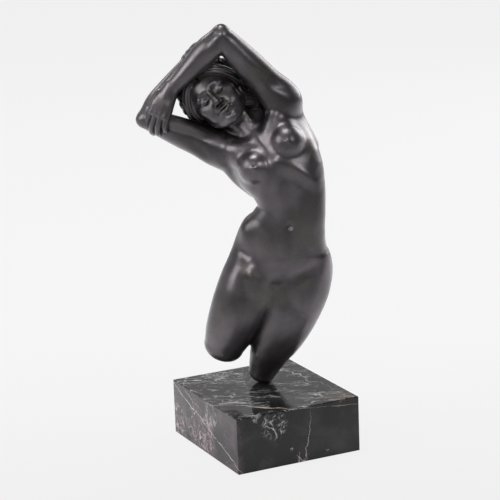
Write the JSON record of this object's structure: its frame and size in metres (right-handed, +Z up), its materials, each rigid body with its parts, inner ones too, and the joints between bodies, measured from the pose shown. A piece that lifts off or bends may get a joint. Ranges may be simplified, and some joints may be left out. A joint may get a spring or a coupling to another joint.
{
  "type": "bronze torso sculpture",
  "caption": "Cabinet bronze of a standing female torso bent to one side, arms folded over the head, thighs cut short, resting on a veined black marble block",
  "frame": {"origin": "Centre of the plinth's underside, on the surface that it stands on", "axes": "+Z up through the plinth; -Y out of the plinth's wide face; +X to the right when that face is looked at. The figure's front is turned 25.6 degrees from -Y towards -X."},
  "size_m": [0.183, 0.155, 0.4383],
  "materials": {
    "bronze": "bronze with a near-black brown patina, waxed, smooth with small soft highlights",
    "marble": "polished black marble with white, pinkish and ochre veins"
  },
  "bodies": {
    "root": {"bronze_figure": "bronze", "marble_plinth": "marble"}
  },
  "joints": []
}
